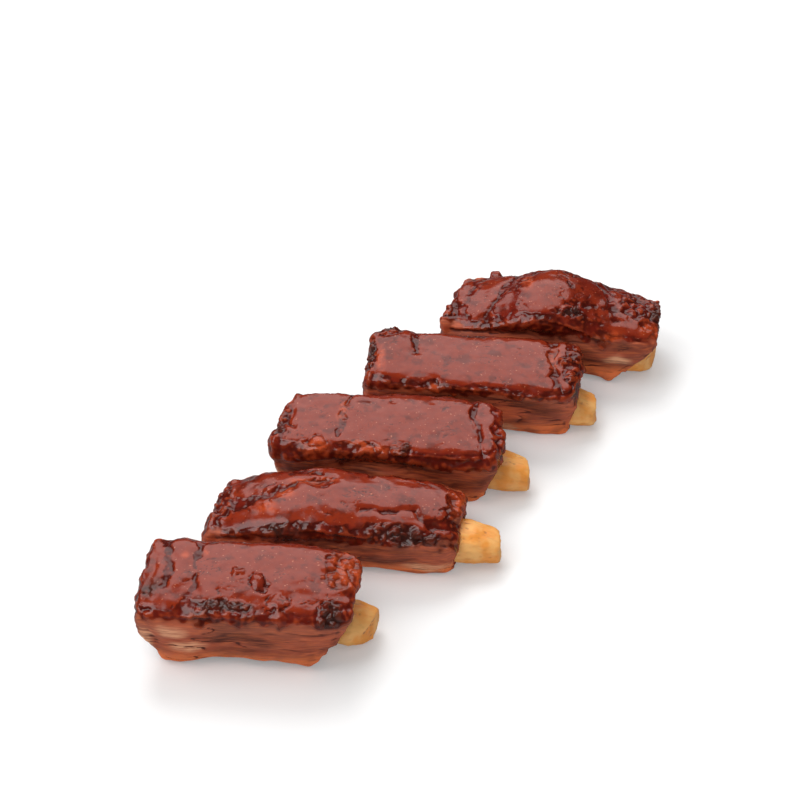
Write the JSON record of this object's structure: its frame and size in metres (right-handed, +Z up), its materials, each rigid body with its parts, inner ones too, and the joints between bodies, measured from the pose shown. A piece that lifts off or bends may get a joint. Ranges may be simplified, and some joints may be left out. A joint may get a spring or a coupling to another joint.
{
  "type": "rack of ribs",
  "caption": "Glazed roast rack of ribs, cut between the bones into separate ribs that lie side by side with their bare bone ends showing.",
  "frame": {"origin": "on the surface the ribs lie on, under the middle of the box round the whole row", "axes": "+Z up. The ribs lie along X with their bare bone ends at +X. +Y runs from the first rib to the last, across the row."},
  "size_m": [0.2084, 0.2422, 0.0405],
  "materials": {
    "glazed_meat": "dark red-brown roast meat under a wet sauce glaze",
    "bare_bone": "yellow-tan roasted bone, satin"
  },
  "bodies": {
    "root": {"rib_1_meat": "glazed_meat", "rib_1_bone": "bare_bone", "rib_2_meat": "glazed_meat", "rib_2_bone": "bare_bone", "rib_3_meat": "glazed_meat", "rib_3_bone": "bare_bone", "rib_4_meat": "glazed_meat", "rib_4_bone": "bare_bone", "rib_5_meat": "glazed_meat", "rib_5_bone": "bare_bone"}
  },
  "joints": []
}
